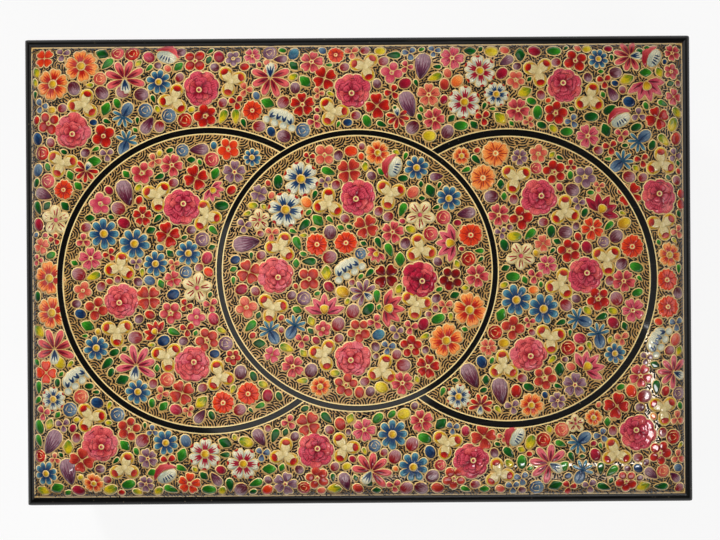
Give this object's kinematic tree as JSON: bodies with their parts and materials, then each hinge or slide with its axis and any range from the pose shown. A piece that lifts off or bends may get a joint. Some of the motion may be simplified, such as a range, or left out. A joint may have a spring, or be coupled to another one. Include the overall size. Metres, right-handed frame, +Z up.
{
  "type": "lidded box",
  "caption": "Rectangular papier mache box with a lift-off cushion lid, round black edge mouldings, a locating neck and three overlapping painted rings.",
  "frame": {"origin": "middle of the underside", "axes": "+X along the box's length, to the right in the view from above; +Y to the back; +Z up"},
  "size_m": [0.254, 0.178, 0.076],
  "materials": {
    "black_lacquer": "glossy lacquer",
    "painted_wall": "glossy lacquer",
    "painted_crown": "glossy lacquer",
    "ring_lacquer": "glossy lacquer"
  },
  "bodies": {
    "base": {"base_floor": "black_lacquer", "base_front_wall": "painted_wall", "base_back_wall": "painted_wall", "base_left_wall": "painted_wall", "base_right_wall": "painted_wall", "foot_moulding_front": "black_lacquer", "foot_moulding_back": "black_lacquer", "foot_moulding_left": "black_lacquer", "foot_moulding_right": "black_lacquer", "base_moulding_front": "black_lacquer", "base_moulding_back": "black_lacquer", "base_moulding_left": "black_lacquer", "base_moulding_right": "black_lacquer", "neck_front": "black_lacquer", "neck_back": "black_lacquer", "neck_left": "black_lacquer", "neck_right": "black_lacquer"},
    "lid": {"lid_front_wall": "black_lacquer", "lid_back_wall": "black_lacquer", "lid_left_wall": "black_lacquer", "lid_right_wall": "black_lacquer", "lid_moulding_front": "black_lacquer", "lid_moulding_back": "black_lacquer", "lid_moulding_left": "black_lacquer", "lid_moulding_right": "black_lacquer", "lid_crown": "painted_crown", "ring_left": "ring_lacquer", "ring_middle": "ring_lacquer", "ring_right": "ring_lacquer"}
  },
  "joints": [
    {"name": "lid_lift", "type": "slide", "parent": "base", "child": "lid", "axis": [0, 0, 1], "range_m": [0, 0.1]}
  ]
}
